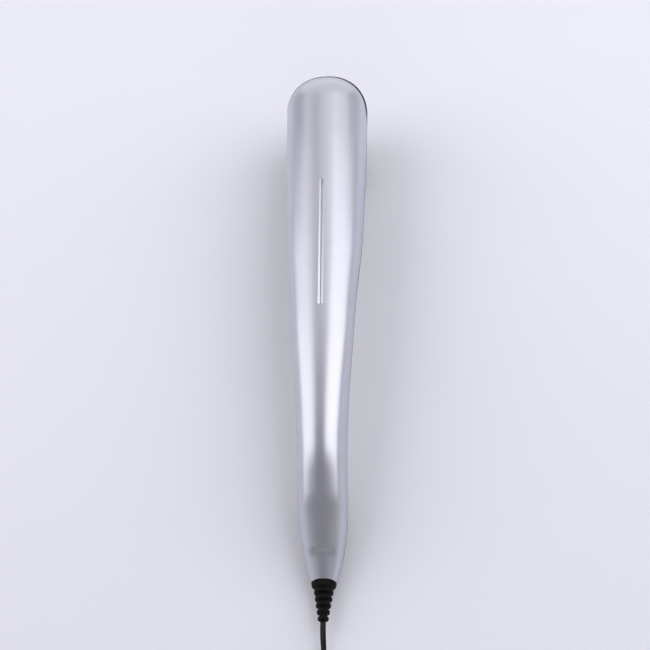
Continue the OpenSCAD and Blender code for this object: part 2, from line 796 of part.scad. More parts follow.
module rod_bearing() {
    bore = pin_r + run_fit;
    w = 4;
    color([0.8, 0.81, 0.83])
    translate([0, at(head_s - w / 2), crank_z]) rotate([-90, 0, 0])
        rotate_extrude()
            polygon([
                [bore, 0], [bore + 1, 0], [bore + 1.2, 0.35], [bearing_r - 1, 0.35], [bearing_r - 0.8, 0],
                [bearing_r, 0], [bearing_r, w], [bearing_r - 0.8, w], [bearing_r - 1, w - 0.35],
                [bore + 1.2, w - 0.35], [bore + 1, w], [bore, w]
            ]);
}
module crank() {
    color([0.5, 0.51, 0.54])
    difference() {
        union() {
            bar_y(hub_s, shaft_z, hub_r, hub_len);
            difference() {
                bar_y(weight_s, shaft_z, weight_r, weight_t);
                block(weight_s - 1, weight_t + 2, 0, 3 * weight_r, shaft_z - 1.5, 2 * weight_r);
            }
            bar_y(hub_s + hub_len - 1, crank_z, pin_r, rod_t + 1.8);
        }
        bar_y(hub_s - 1, shaft_z, shaft_r + seat_fit, hub_len);
        bar_z(weight_s + weight_t / 2, shaft_z, screw_r + seat_fit, hub_r + 1);
    }
}
module crank_screw() {
    color([0.25, 0.25, 0.27])
        bar_z(weight_s + weight_t / 2, shaft_z + shaft_r + seat_fit, screw_r, hub_r - shaft_r - 0.5);
}
module motor_shaft() {
    color([0.78, 0.79, 0.81]) bar_y(motor_s - 1, shaft_z, shaft_r, hub_s + hub_len - 1.1 - motor_s);
}
rotor_s = motor_s + 9;
rotor_len = motor_len - 20;
rotor_r = motor_r - 3.4;
module motor_rotor() {
    color([0.45, 0.32, 0.2])
    difference() {
        union() {
            bar_y(rotor_s, shaft_z, rotor_r, rotor_len);
            bar_y(rotor_s - 4, shaft_z, 4, rotor_len + 8);
        }
        for (a = [0:72:288]) translate([0, at(rotor_s), shaft_z]) rotate([0, a, 0]) {
            translate([0, -1, rotor_r - 4]) rotate([-90, 0, 0]) cylinder(r = 3, h = rotor_len + 2);
            translate([-0.8, -1, rotor_r - 4]) cube([1.6, rotor_len + 2, 6]);
        }
        bar_y(rotor_s - 5, shaft_z, shaft_r + seat_fit, rotor_len + 10);
    }
}
module motor_magnets() {
    outer = motor_r - can_t - seat_fit;
    span = 132;
    color([0.3, 0.3, 0.32])
    for (side = [0, 180]) translate([0, at(rotor_s - 1), shaft_z]) rotate([-90, side, 0])
        rotate([0, 0, -span / 2]) rotate_extrude(angle = span)
            translate([rotor_r + 0.5, 0]) square([outer - rotor_r - 0.5, rotor_len + 2]);
}
module motor_can() {
    color([0.62, 0.63, 0.65])
    difference() {
        bar_y(motor_s + 3, shaft_z, motor_r, motor_len - 3);
        bar_y(motor_s + 2, shaft_z, motor_r - can_t, motor_len - 3.5);
        bar_y(mount_s - 3, shaft_z, hub_r - 0.5 + seat_fit, 4);
        for (x = [-1, 1]) bar_y(mount_s - 3, shaft_z, screw_r + seat_fit, 4, x * mount_pcd / 2);
    }
}
module motor_bush() {
    color([0.75, 0.6, 0.35])
    difference() {
        union() {
            bar_y(mount_s - 1.5, shaft_z, hub_r - 0.5, 2);
            bar_y(mount_s, shaft_z, bush_boss_r, bush_boss_len);
        }
        bar_y(mount_s - 3, shaft_z, shaft_r + run_fit, bush_boss_len + 4);
    }
}
module motor_end_cap() {
    color([0.15, 0.15, 0.15])
    difference() {
        union() {
            bar_y(motor_s, shaft_z, motor_r, 3 - seat_fit);
            bar_y(motor_s + 1, shaft_z, motor_r - can_t - seat_fit, 4);
            bar_y(motor_s - 2, shaft_z, 5, 3);
        }
        bar_y(motor_s - 1 - seat_fit, shaft_z, shaft_r + run_fit, 8);
        bar_y(motor_s + 3, shaft_z, motor_r - 4, 4);
        for (x = [-1, 1]) block(motor_s - 1, 8, x * 10, 3 + 2 * seat_fit,
            shaft_z - 0.4 - seat_fit, 0.8 + 2 * seat_fit);
    }
}
module motor_terminals() {
    color([0.75, 0.62, 0.35])
    for (x = [-1, 1]) difference() {
        block(motor_s - 6, 9, x * 10, 3, shaft_z - 0.4, 0.8);
        bar_z(motor_s - 4, shaft_z - 2, 0.6, 4, x * 10);
    }
}
module motor_screws() {
    color([0.7, 0.7, 0.72])
    for (x = [-1, 1]) {
        bar_y(mount_s - 2, shaft_z, screw_r, mount_t + 2.5, x * mount_pcd / 2);
        bar_y(mount_s + mount_t, shaft_z, 2.4, 2, x * mount_pcd / 2);
    }
}
module motor_damper() {
    color([0.18, 0.18, 0.18])
    difference() {
        bar_y(damper_s, shaft_z, motor_r + damper_t, damper_len);
        bar_y(damper_s - 1, shaft_z, motor_r + seat_fit, damper_len + 2);
    }
}
module chassis() {
    near = mount_s;
    far = head_s + chassis_far + 4;
    mount_r = 19;
    deck_w = 34;
    gusset_x = deck_w / 2 - 1;
    gusset_t = 2;
    gusset_run = 20;
    gusset_h = 17;
    color([0.82, 0.83, 0.85])
    difference() {
        union() {
            block(near, far - near, 0, deck_w, deck_z, deck_t);
            bar_z(head_s, tower_z, tower_r, deck_z - tower_z + 1);
            bar_y(near, shaft_z, mount_r, mount_t);
            block(near, mount_t, 0, deck_w, deck_z, shaft_z - deck_z);
            for (x = [-1, 1]) translate([x * gusset_x - gusset_t / 2, at(near), deck_top - 1])
                rotate([90, 0, 90]) linear_extrude(gusset_t)
                    polygon([[0, 0], [gusset_run, 0], [mount_t, gusset_h], [0, gusset_h]]);
        }
        bar_z(head_s, tower_z - 1, bush_r + seat_fit, bush_top - tower_z + 1 + seat_fit);
        bar_z(head_s, bush_top, tower_bore, head_d / 2);
        bar_y(near - 1, shaft_z, bush_boss_r + seat_fit, mount_t + 2);
        for (x = [-1, 1]) bar_y(near - 1, shaft_z, screw_r + 0.2, mount_t + 2, x * mount_pcd / 2);
        for (p = chassis_spots) bar_z(p[0], deck_z - 1, screw_r + 0.2, deck_t + 2, p[1]);
        for (z = [-1, 1]) bar_y(near - 1, shaft_z + z * 13, 3.2, mount_t + 2);
    }
}
module chassis_screws() {
    color([0.6, 0.6, 0.62])
    for (p = chassis_spots) difference() {
        union() {
            bar_z(p[0], deck_z - 5, screw_r, deck_t + 5.5, p[1]);
            bar_z(p[0], deck_top, screw_head_r, 2, p[1]);
        }
        drive_recess(p[0], p[1], deck_top + 2, -1);
    }
}

module button_panel() {
    color([0.07, 0.07, 0.08])
    on_panel() difference() {
        slab(-panel_t, 0) stadium(panel_w, panel_len);
        key_holes(1);
    }
}
module key(y, d) {
    proud = -panel_t - key_proud;
    on_panel() translate([0, y, 0]) {
        difference() {
            union() {
                translate([0, 0, proud]) cylinder(r1 = d / 2 - 0.5, r2 = d / 2, h = 0.5);
                translate([0, 0, proud + 0.5]) cylinder(r = d / 2, h = key_lip_z - proud);
                translate([0, 0, key_lip_z]) cylinder(r = d / 2 + key_lip, h = key_lip_t);
                cylinder(r = 2, h = stem_z);
            }
            translate([0, 0, proud - 19.6]) sphere(r = 20, $fn = 96);
        }
    }
}
module power_button() { color([0.62, 0.63, 0.66]) key(power_y, power_d); }
module faster_button() { color([0.2, 0.2, 0.21]) key(faster_y, speed_d); }
module slower_button() { color([0.2, 0.2, 0.21]) key(slower_y, speed_d); }
module light_pipes() {
    color([0.75, 0.8, 0.85])
    on_panel() for (x = [-1, 0, 1]) translate([x * light_pitch, lights_y, -panel_t])
        cylinder(r = light_r, h = board_z - led_t - 0.25 + panel_t);
}
module key_switches() {
    color([0.3, 0.3, 0.32])
    on_panel() for (y = [power_y, faster_y, slower_y]) translate([0, y, 0]) {
        translate([-3, -3, switch_z + 0.7]) cube([6, 6, board_z - switch_z - 0.7]);
        translate([0, 0, switch_z]) cylinder(r = 1.75, h = 1);
    }
}
module status_leds() {
    color([0.9, 0.9, 0.8])
    on_panel() for (x = [-1, 0, 1]) translate([x * light_pitch - 1, lights_y - 1.2, board_z - led_t])
        cube([2, 2.4, led_t]);
}
module control_board() {
    color([0.1, 0.35, 0.2])
    on_panel() difference() {
        slab(board_z, board_z + board_t) square([board_w, board_len], center = true);
        for (y = [-1, 1]) translate([0, y * board_post_y, board_z - 1]) cylinder(r = 1.4, h = board_t + 2);
    }
}
module board_screws() {
    color([0.6, 0.6, 0.62])
    on_panel() for (y = [-1, 1]) translate([0, y * board_post_y, 0]) {
        translate([0, 0, board_z - 5]) cylinder(r = 1.2, h = board_t + 5.5);
        translate([0, 0, board_z + board_t]) cylinder(r = 2.4, h = 1.6);
    }
}
module capacitor() {
    color([0.15, 0.17, 0.3])
    on_panel() translate([0, cap_y, board_z + board_t]) {
        cylinder(r = 5, h = 12);
        cylinder(r = 5.3, h = 1);
    }
}
module motor_driver() {
    color([0.12, 0.12, 0.12])
    on_panel() translate([0, -4, board_z + board_t]) {
        translate([-4.5, -3.2, 0.2]) cube([9, 6.4, 2.2]);
        for (k = [0:3]) translate([-3.4 + k * 1.9, -5, 0]) cube([1, 10, 0.5]);
    }
}
wire_r = 0.8;
// Inside the handle the lead lies over the ribs, and its cores part before the board
rib_over = 8.6;
lead_x = 6.5;
split_s = panel_s - 48;
route_s = 72;
split_z = floor_z(split_s, lead_x) + rib_over;
module motor_leads() {
    top = board_z + board_t + wire_r + 0.1;
    pad_y = board_len / 2 - 8;
    for (side = [-1, 1]) color(side > 0 ? [0.6, 0.1, 0.1] : [0.1, 0.1, 0.1])
        wire([
            [side * 10, at(motor_s - 6.2), shaft_z], [side * 10, at(motor_s - 10), shaft_z - 0.5],
            [side * 9, at(motor_s - 20), shaft_z - 4], [side * 8, at(motor_s - 34), shaft_z - 10],
            panel_pt(side * 7, pad_y + 9, top + 1.5), panel_pt(side * 7, pad_y + 3, top),
            panel_pt(side * 7, pad_y - 1, top)
        ], wire_r);
}
module supply_leads() {
    top = board_z + board_t + wire_r + 0.1;
    pad_y = board_len / 2 - 8;
    for (side = [-1, 1]) color([0.1, 0.1, 0.1])
        wire([
            [lead_x + side, at(split_s + 0.1), split_z], [lead_x + side, at(split_s + 3), split_z + 0.3],
            [lead_x + side * 1.6, at(split_s + 9), split_z + 3],
            panel_pt(lead_x + side * 2.2, -pad_y - 11, top + 1),
            panel_pt(lead_x + side * 2.2, -pad_y - 4, top), panel_pt(lead_x + side * 2.2, -pad_y, top)
        ], wire_r);
}
inside_route = concat(
    [[0, at(wall + 2.1), cord_z], [0, at(16), cord_z + 0.1], [0, at(30), cord_z + 0.5]],
    [for (p = [[43, 2], [56, 6.4], [route_s, 7]]) [p[1], at(p[0]), floor_z(p[0], p[1]) + rib_over]],
    [for (k = [0.35, 0.675]) let (s = mix(route_s, split_s, k))
        [lead_x, at(s), floor_z(s, lead_x) + rib_over]],
    [[lead_x, at(split_s), split_z]]
);
module cord_inside() {
    route = smooth(inside_route, 3);
    color([0.08, 0.08, 0.08]) swept(route, outline(lead_w, lead_t, 8), [for (p = route) 0]);
}
clamp_s = 24;
clamp_x = [-5.4, 5.4];
clamp_boss_r = 2.2;
clamp_screw_r = 1;
clamp_z = cord_z + lead_t / 2 + 0.5;
module cord_clamp() {
    color([0.2, 0.2, 0.2])
    difference() {
        block(clamp_s - 3, 6, 0, 15.4, clamp_z, 2);
        for (x = clamp_x) bar_z(clamp_s, clamp_z - 1, clamp_screw_r + 0.15, 4, x);
    }
}
module clamp_screws() {
    color([0.6, 0.6, 0.62])
    for (x = clamp_x) difference() {
        union() {
            bar_z(clamp_s, clamp_z - 4, clamp_screw_r, 6.5, x);
            bar_z(clamp_s, clamp_z + 2, 1.9, 1.3, x);
        }
        translate([x, at(clamp_s), clamp_z + 2.6]) for (a = [0, 90]) rotate([0, 0, a])
            translate([-1, -0.25, 0]) cube([2, 0.5, 1]);
    }
}

// Strain relief: a flange and five rings on a core that tapers in steps
relief_neck_r = 4.9;
relief_flange_t = 3;
relief_rings = 5;
relief_pitch = 4.65;
ring_t = 2.5;
function ring_r(k) = 6.4 - 0.69 * k;
function gap_r(k) = [6, 5.4, 4.6, 3.75, 3.05][k];
module strain_relief() {
    flange = relief_d / 2;
    last = relief_len - ring_t / 2 - 0.1;
    first = last - (relief_rings - 1) * relief_pitch;
    color([0.07, 0.07, 0.07])
    translate([0, at(0), cord_z]) rotate([90, 0, 0])
        rotate_extrude($fn = 64)
            polygon(concat(
                [[0, -wall - 2], [relief_neck_r + 0.8, -wall - 2], [relief_neck_r + 0.8, -wall - seat_fit],
                    [relief_neck_r, -wall - seat_fit], [relief_neck_r, 0], [flange - 0.2, 0.1],
                    [flange, 0.8], [flange - 0.3, relief_flange_t - 0.4], [flange - 0.9, relief_flange_t]],
                [for (k = [0:relief_rings - 1]) let (d = first + k * relief_pitch, r = ring_r(k)) each [
                    [gap_r(k), d - ring_t / 2 - (k == 0 ? 1.4 : 0.9)], [gap_r(k), d - ring_t / 2],
                    [r - 0.5, d - ring_t / 2], [r, d - ring_t / 2 + 0.6], [r - 0.1, d + ring_t / 2 - 0.5],
                    [r - 0.6, d + ring_t / 2]
                ]],
                [[0, relief_len - 0.1]]
            ));
}
module cord() {
    // A flat lead that leaves level, rolls over as it drops and lies flat again
    at_end = len(cord_route) - 1;
    route = smooth(cord_route, 2);
    turns = [for (v = smooth([for (a = cord_turn) [a, 0]], 2)) v[0]];
    color([0.06, 0.06, 0.06]) swept(route, outline(lead_w, lead_t, 8), turns);
    echo(cord_length = path_len(route) + path_len(coil_path) + path_len(end_route), rows = at_end);
}
module cord_coil() {
    echo(coil_least_gap = least_gap(), coil_length = path_len(coil_path));
    color([0.06, 0.06, 0.06])
        swept(coil_path, outline(lead_w, lead_t, 6), [for (p = coil_path) 0]);
}
module cord_end() {
    color([0.06, 0.06, 0.06])
        swept(end_route, outline(lead_w, lead_t, 8), [for (p = end_route) 0]);
}
module adapter_relief() {
    far = end_route[len(end_route) - 1][1];
    color([0.07, 0.07, 0.07])
    translate([0, far, end_route[len(end_route) - 1][2]]) rotate([90, 0, 0])
        rotate_extrude()
            polygon(concat(
                [[0, 0], [2.6, 0]],
                [for (k = [0:2]) let (d = 1.5 + k * 4.5, r = 3 + k * 0.5) each
                    [[r, d], [r + 0.6, d + 0.6], [r + 0.6, d + 2], [r, d + 2.6]]],
                [[5.4, adapter_relief_len - 1], [5.4, adapter_relief_len], [0, adapter_relief_len]]
            ));
}
module rounded(w, h, r) {
    square([w - 2 * r, h], center = true);
    square([w, h - 2 * r], center = true);
    for (x = [-1, 1]) for (y = [-1, 1]) translate([x * (w / 2 - r), y * (h / 2 - r)]) circle(r = r);
}
// The pins are thinner where they go into the case
pin_step = 0.8;
module adapter_case() {
    mid_y = adapter_y - adapter_len / 2;
    color([0.08, 0.08, 0.08])
    difference() {
        intersection() {
            translate([0, mid_y, 0]) linear_extrude(adapter_t) rounded(adapter_w, adapter_len, 8);
            translate([0, mid_y, adapter_t / 2]) rotate([90, 0, 90])
                linear_extrude(adapter_w, center = true) rounded(adapter_len, adapter_t, 4);
        }
        for (y = [-1, 1]) translate([0, mid_y, adapter_t * 0.6]) linear_extrude(0.5)
            difference() {
                rounded(adapter_w + 2, adapter_len + 2, 8);
                rounded(adapter_w - 1, adapter_len - 1, 7.5);
            }
        for (x = [-1, 1]) translate([x * pin_pitch / 2, mid_y - 8, adapter_t - 4])
            cylinder(d = pin_d - pin_step + 2 * seat_fit, h = 5);
    }
}
module adapter_pins() {
    color([0.78, 0.79, 0.8])
    for (x = [-1, 1]) translate([x * pin_pitch / 2, adapter_y - adapter_len / 2 - 8, adapter_t - 4]) {
        cylinder(d = pin_d - pin_step, h = 5);
        translate([0, 0, 4]) cylinder(d = pin_d, h = pin_len - 0.6);
        translate([0, 0, 4 + pin_len - 0.6]) cylinder(d1 = pin_d, d2 = pin_d - 1.2, h = 0.6);
    }
}

rear_shell();
front_shell();
housing_screws();
massage_pad();
massage_core();
core_screw();
plunger();
wrist_pin();
neck_seal();
guide_bush();
connecting_rod();
rod_bearing();
crank();
crank_screw();
motor_shaft();
motor_rotor();
motor_magnets();
motor_can();
motor_bush();
motor_end_cap();
motor_terminals();
motor_screws();
motor_damper();
chassis();
chassis_screws();
button_panel();
power_button();
faster_button();
slower_button();
light_pipes();
key_switches();
status_leds();
control_board();
board_screws();
capacitor();
motor_driver();
motor_leads();
supply_leads();
cord_inside();
cord_clamp();
clamp_screws();
strain_relief();
cord();
cord_coil();
cord_end();
adapter_relief();
adapter_case();
adapter_pins();
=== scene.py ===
import json
import math

import bmesh
import bpy
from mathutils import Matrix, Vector


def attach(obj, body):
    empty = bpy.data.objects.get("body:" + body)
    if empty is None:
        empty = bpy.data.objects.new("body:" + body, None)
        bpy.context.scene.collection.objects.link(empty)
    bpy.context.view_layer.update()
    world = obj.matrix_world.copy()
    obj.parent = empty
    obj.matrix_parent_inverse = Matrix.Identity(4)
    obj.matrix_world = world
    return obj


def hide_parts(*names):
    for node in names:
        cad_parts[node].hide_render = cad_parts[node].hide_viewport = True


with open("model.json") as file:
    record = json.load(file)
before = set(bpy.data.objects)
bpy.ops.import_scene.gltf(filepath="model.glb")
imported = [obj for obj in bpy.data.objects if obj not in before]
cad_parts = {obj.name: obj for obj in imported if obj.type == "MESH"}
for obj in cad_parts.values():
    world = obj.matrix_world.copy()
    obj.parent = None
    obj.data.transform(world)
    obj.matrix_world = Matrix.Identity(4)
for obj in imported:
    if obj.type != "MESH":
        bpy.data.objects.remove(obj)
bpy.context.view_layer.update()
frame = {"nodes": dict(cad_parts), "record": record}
mm = 0.001
scene = bpy.context.scene


# small tools
def mix(a, b, t):
    return a + (b - a) * t


def ease(t):
    t = max(0.0, min(1.0, t))
    return t * t * (3 - 2 * t)


def linear(code):  # sRGB hex, as a paint chart gives it, to the renderer's linear colour
    parts = [int(code[i:i + 2], 16) / 255 for i in (1, 3, 5)]
    return tuple(p / 12.92 if p <= 0.04045 else ((p + 0.055) / 1.055) ** 2.4 for p in parts) + (1,)


def deselectAll():
    if bpy.context.object and bpy.context.object.mode != "OBJECT":
        bpy.ops.object.mode_set(mode="OBJECT")
    bpy.ops.object.select_all(action="DESELECT")


def pick(obj):
    deselectAll()
    obj.select_set(True)
    bpy.context.view_layer.objects.active = obj
    return obj


def settle(obj):  # the finished piece's object sits at the origin
    pick(obj)
    bpy.ops.object.transform_apply(location=True, rotation=True, scale=True)
    return obj


def outward(obj, merge=0.00002):
    pick(obj)
    bpy.ops.object.mode_set(mode="EDIT")
    bpy.ops.mesh.select_all(action="SELECT")
    bpy.ops.mesh.remove_doubles(threshold=merge)
    bpy.ops.mesh.normals_make_consistent(inside=False)
    bpy.ops.object.mode_set(mode="OBJECT")
    return obj


def modify(obj, kind, **settings):
    pick(obj)
    mod = obj.modifiers.new(kind.title(), kind)
    for name, value in settings.items():
        setattr(mod, name, value)
    bpy.ops.object.modifier_apply(modifier=mod.name)
    return obj


def smooth(obj, degrees):
    pick(obj)
    bpy.ops.object.shade_smooth_by_angle(angle=math.radians(degrees))
    return obj


# camera
view = {"elevation": 56.012, "around": 10.587, "roll": -11.318, "distance": 1.302596, "angle": 19.699,
        "target": (0.000309, -0.011662, 0.03905), "clip": (0.05, 20)}


def addCamera():
    up, turn, roll = (math.radians(view[k]) for k in ("elevation", "around", "roll"))
    back = Vector((math.cos(up) * math.sin(turn), -math.cos(up) * math.cos(turn), math.sin(up)))
    right = (-back).cross(Vector((0, 0, 1))).normalized()
    above = right.cross(-back)
    side = right * math.cos(roll) + above * math.sin(roll)
    top = above * math.cos(roll) - right * math.sin(roll)
    bpy.ops.object.camera_add(location=Vector(view["target"]) + back * view["distance"])
    camera = bpy.context.object
    camera.name = "camera"
    camera.rotation_mode = "QUATERNION"
    turned = bpy.context.object.matrix_world.to_3x3()
    turned.col[0], turned.col[1], turned.col[2] = side, top, back
    camera.rotation_quaternion = turned.to_quaternion()
    camera.data.sensor_fit = "AUTO"
    camera.data.angle = math.radians(view["angle"])
    camera.data.clip_start, camera.data.clip_end = view["clip"]
    scene.camera = camera


addCamera()
print("camera set")

# cord
lead = {
    "width": 3.8, "thick": 1.9, "exit": (0, -221.3, 8.8),
    "free": [(0, -221.3, 8.8), (0, -227, 8.6), (0.1, -233, 7.4), (0.3, -239, 5.1), (0.5, -245, 3.1),
             (0.8, -252, 2.1), (1.2, -260, 1.7), (1.2, -268, 1.3), (0.8, -276, 1), (0.2, -284, 1),
             (0, -292, 1), (0, -300, 1)],
    "turns": [0, 6, 20, 38, 55, 64, 58, 40, 20, 6, 0, 0],
    "coilX": -27, "coilY": -300, "coilR": 27, "pitch": 4.3, "layerTurns": 2.5, "layers": 4,
    "layerRise": 2.4, "coilRings": 24, "coilZ": 1,
    "end": [(0, -304, 8.2), (0, -312, 8.1), (0, -322, 8.2), (0, -332, 8.6), (0, -342, 8.9),
            (0, -352, 9), (0, -360, 9), (0, -364, 9)],
}


def through(points, steps):  # smooth curve through given points
    out = []
    for i in range(len(points) - 1):
        a, b, c, d = (Vector(points[max(0, min(len(points) - 1, i + k))]) for k in (-1, 0, 1, 2))
        for k in range(steps):
            t = k / steps
            out.append((2 * b + (c - a) * t + (2 * a - 5 * b + 4 * c - d) * t ** 2
                        + (3 * b - a - 3 * c + d) * t ** 3) / 2)
    return out + [Vector(points[-1])]


def coilPoint(turn):  # each layer winds the other way across, and the climb to the next takes half a turn
    count = lead["layers"]
    layer = min(count - 1, int(turn // lead["layerTurns"]))
    into = turn - layer * lead["layerTurns"]
    r = lead["coilR"] - lead["pitch"] * (into if layer % 2 == 0 else lead["layerTurns"] - into)
    climb = sum(ease((turn - k * lead["layerTurns"]) * 2 + 0.5) for k in range(1, count))
    a = 2 * math.pi * turn
    return Vector((lead["coilX"] + r * math.cos(a), lead["coilY"] - r * math.sin(a),
                   lead["coilZ"] + lead["layerRise"] * climb))


def leadSection():  # two round cores side by side with a web between them
    r = lead["thick"] / 2
    reach = lead["width"] / 2 - r
    half = [(reach + r * math.cos(a), r * math.sin(a))
            for a in (math.radians(d) for d in range(-125, 126, 25))]
    return half + [(-x, -y) for x, y in half]


def addLead():
    steps = 4
    free = through(lead["free"], steps)
    turned = [v[0] for v in through([(a, 0, 0) for a in lead["turns"]], steps)]
    count = lead["layers"] * lead["layerTurns"] * lead["coilRings"]
    coil = [coilPoint(k / lead["coilRings"]) for k in range(1, int(count) + 1)]
    path = free + coil + [Vector(p) for p in lead["end"]]
    turned += [0] * (len(path) - len(turned))
    shape = leadSection()
    verts, faces = [], []
    for i, p in enumerate(path):
        ahead = (path[min(len(path) - 1, i + 1)] - path[max(0, i - 1)]).normalized()
        side = ahead.cross(Vector((0, 0, 1))).normalized()
        above = side.cross(ahead)
        c, s = math.cos(math.radians(turned[i])), math.sin(math.radians(turned[i]))
        for x, y in shape:
            verts.append((p + side * (x * c - y * s) + above * (x * s + y * c)) * mm)
    n = len(shape)
    for i in range(len(path) - 1):
        for k in range(n):
            a, b = i * n + k, i * n + (k + 1) % n
            faces.append((a, b, b + n, a + n))
    faces += [tuple(range(n)), tuple(range(len(verts) - n, len(verts)))]
    mesh = bpy.data.meshes.new("twinLead")
    mesh.from_pydata(verts, [], faces)
    obj = bpy.data.objects.new("twinLead", mesh)
    scene.collection.objects.link(obj)
    outward(obj, 0.000001)
    smooth(obj, 50)
    length = sum((path[i + 1] - path[i]).length for i in range(len(path) - 1)) * mm
    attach(obj, "root")
    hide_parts("cord", "cord_coil", "cord_end")
    return obj, [p * mm for p in path], length


twinLead, leadPath, leadLength = addLead()
print("lead wound, length in metres:", round(leadLength, 4))


# housing: the same stations as the CAD's, on finer meshes, with the parting line a little lower
housing = {
    "length": 390, "headW": 59.4, "headD": 52, "headMid": 53, "tip": 29, "waistW": 33.8, "waistD": 36,
    "waistMid": 36, "collar": 16.8, "lift": 0.4, "waistS": 80, "tipPower": 2.1, "power": 2.2,
    "flares": [(11, 0.365, 0.063, 0.125, 0.006), (15.5, 0.483, 0.108, 0.18, 0.002),
               (18.5, 0.56, 0.14, 0.237, 0), (21.5, 0.632, 0.173, 0.275, 0),
               (35, 0.867, 0.34, 0.46, 0.055), (51, 0.979, 0.6, 0.69, 0.31)],
    "swells": [(0.15, 0.115, 0.48, 0.26, 0.83), (0.29, 0.312, 0.75, 0.42, 1.22),
               (0.43, 0.495, 0.86, 0.54, 1.33), (0.57, 0.753, 0.87, 0.66, 1.22),
               (0.72, 0.879, 0.88, 0.79, 1.06), (0.86, 0.968, 0.93, 0.91, 0.98), (1, 1, 1, 1, 1)],
    "tipRise": 23, "risePower": 0.8, "riseStart": 12, "partDrop": 2.2, "dropReach": 40, "dropEnd": 20,
    "tailDrop": 2.0, "tailReach": 34, "wall": 1.6, "lip": 0.35, "lipLean": 0.12,
}
tipS = housing["length"] - housing["tip"]


def makeStations():
    h = housing
    r, low, high = h["collar"] / 2, h["waistMid"] - h["waistD"] / 2, h["waistMid"] + h["waistD"] / 2
    headLow, headHigh = h["headMid"] - h["headD"] / 2, h["headMid"] + h["headD"] / 2
    mid = r + h["lift"]
    rows = [(0, r, mid, mid + r, h["lift"])]
    for s, kw, km, kt, kb in h["flares"] + [(h["waistS"], 1, 1, 1, 1)]:
        rows.append((s, mix(r, h["waistW"] / 2, kw), mix(mid, h["waistMid"], km), mix(mid + r, high, kt),
                     mix(0, low, kb)))
    for k, kw, km, kt, kb in h["swells"]:
        rows.append((mix(h["waistS"], tipS, k), mix(h["waistW"], h["headW"], kw) / 2,
                     mix(h["waistMid"], h["headMid"], km), mix(high, headHigh, kt), mix(low, headLow, kb)))
    return rows


stations = makeStations()


def along(s, k):
    last = len(stations) - 2
    i = last
    while i > 0 and s < stations[i][0]:
        i -= 1

    def grade(j):
        a, b = stations[max(0, j - 1)], stations[min(last + 1, j + 1)]
        return (b[k] - a[k]) / (b[0] - a[0])
    d = stations[i + 1][0] - stations[i][0]
    t = max(0.0, min(1.0, (s - stations[i][0]) / d))
    return (stations[i][k] * (2 * t ** 3 - 3 * t ** 2 + 1) + grade(i) * d * (t ** 3 - 2 * t ** 2 + t)
            + stations[i + 1][k] * (3 * t ** 2 - 2 * t ** 3) + grade(i + 1) * d * (t ** 3 - t ** 2))


def closing(s):
    if s <= tipS:
        return 1.0
    p = housing["tipPower"]
    return max(0.0, 1 - min(1.0, (s - tipS) / housing["tip"]) ** p) ** (1 / p)


def bulge(v):
    return math.copysign(abs(v) ** (2 / housing["power"]), v)


def section(s, a):  # point of the outer skin at s, in degrees round the section
    c = closing(s)
    mid = along(s, 2)
    up, down = (along(s, 3) - mid) * c, (mid - along(s, 4)) * c
    x, z = bulge(math.cos(math.radians(a))), bulge(math.sin(math.radians(a)))
    return Vector((along(s, 1) * c * x, s - housing["length"] / 2, mid + (up if z >= 0 else down) * z))


def partingZ(s):
    h = housing
    drop = h["partDrop"] * ease(s / h["dropReach"]) * (1 - ease((s - tipS + h["dropEnd"]) / h["dropEnd"]))
    drop += h["tailDrop"] * (1 - ease(s / h["tailReach"]))
    rise = h["tipRise"] * ease((s - tipS + h["riseStart"]) / (h["tip"] + h["riseStart"])) ** h["risePower"]
    return along(s, 2) - drop + rise


def partingAngle(s):  # where the parting line meets the right flank, 90 where it has passed over the top
    c, mid = closing(s), along(s, 2)
    z = partingZ(s) - mid
    reach = (along(s, 3) - mid if z >= 0 else mid - along(s, 4)) * c
    if z >= reach:
        return 90.0
    share = (abs(z) / reach) ** (housing["power"] / 2)
    return math.copysign(math.degrees(math.asin(min(1.0, share))), z)


def findTopEnd():  # place where the parting line crosses the top of the tip
    low, high = tipS, housing["length"] - 0.001
    for k in range(50):
        s = (low + high) / 2
        low, high = (low, s) if partingAngle(s) >= 90 else (s, high)
    return low


topEnd = findTopEnd()
print("parting line crosses the top at", round(topEnd, 2))


def tipPlaces(first, last, count):  # rings that crowd towards the end of the round tip
    out = []
    for k in range(1, count + 1):
        a = math.pi / 2 * k / count
        out.append(mix(first, last, math.sin(a)))
    return out


# channel pressed into the back
channel = {"near": 183, "length": 102, "wNear": 4.0, "wFar": 3.5, "coreNear": 0.5, "coreFar": 1.4,
           "fall": 0.38, "capFall": 1.2, "slit": 1.3, "slitFlat": 0.7, "slitRamp": 0.5, "side": 0.42,
           "mostOfEdge": 0.3, "mostOfWidth": 0.45,
           "coreColumns": [0, 0.5, 0.7, 0.85, 1.0, 1.2],
           "wallColumns": [0.15, 0.32, 0.5, 0.68, 0.84, 0.94, 1],
           "rimColumns": [1.03, 1.07, 1.16, 1.4, 1.9]}


def channelHalves(s):  # half the width of the channel and of the slit along its middle
    t = max(0.0, min(1.0, (s - channel["near"]) / channel["length"]))
    return (mix(channel["wNear"], channel["wFar"], t) / 2,
            mix(channel["coreNear"], channel["coreFar"], t) / 2)


def channelSink(x, s):  # depth of the sloping walls and the slit, square at the near end, round at the far one
    w, core = channelHalves(s)
    beyond = max(0.0, s - (channel["near"] + channel["length"] - w))
    out = math.hypot(x, beyond)
    if out >= w or s <= channel["near"]:
        return 0.0
    fall = mix(channel["fall"], channel["capFall"], ease(beyond / w))
    wall = fall * (w - core) * (1 - ease((out - core) / (w - core)))
    slit = channel["slit"] * (1 - ease((out / core - channel["slitFlat"]) / channel["slitRamp"]))
    return (wall + slit) * ease((s - channel["near"]) / channel["side"])


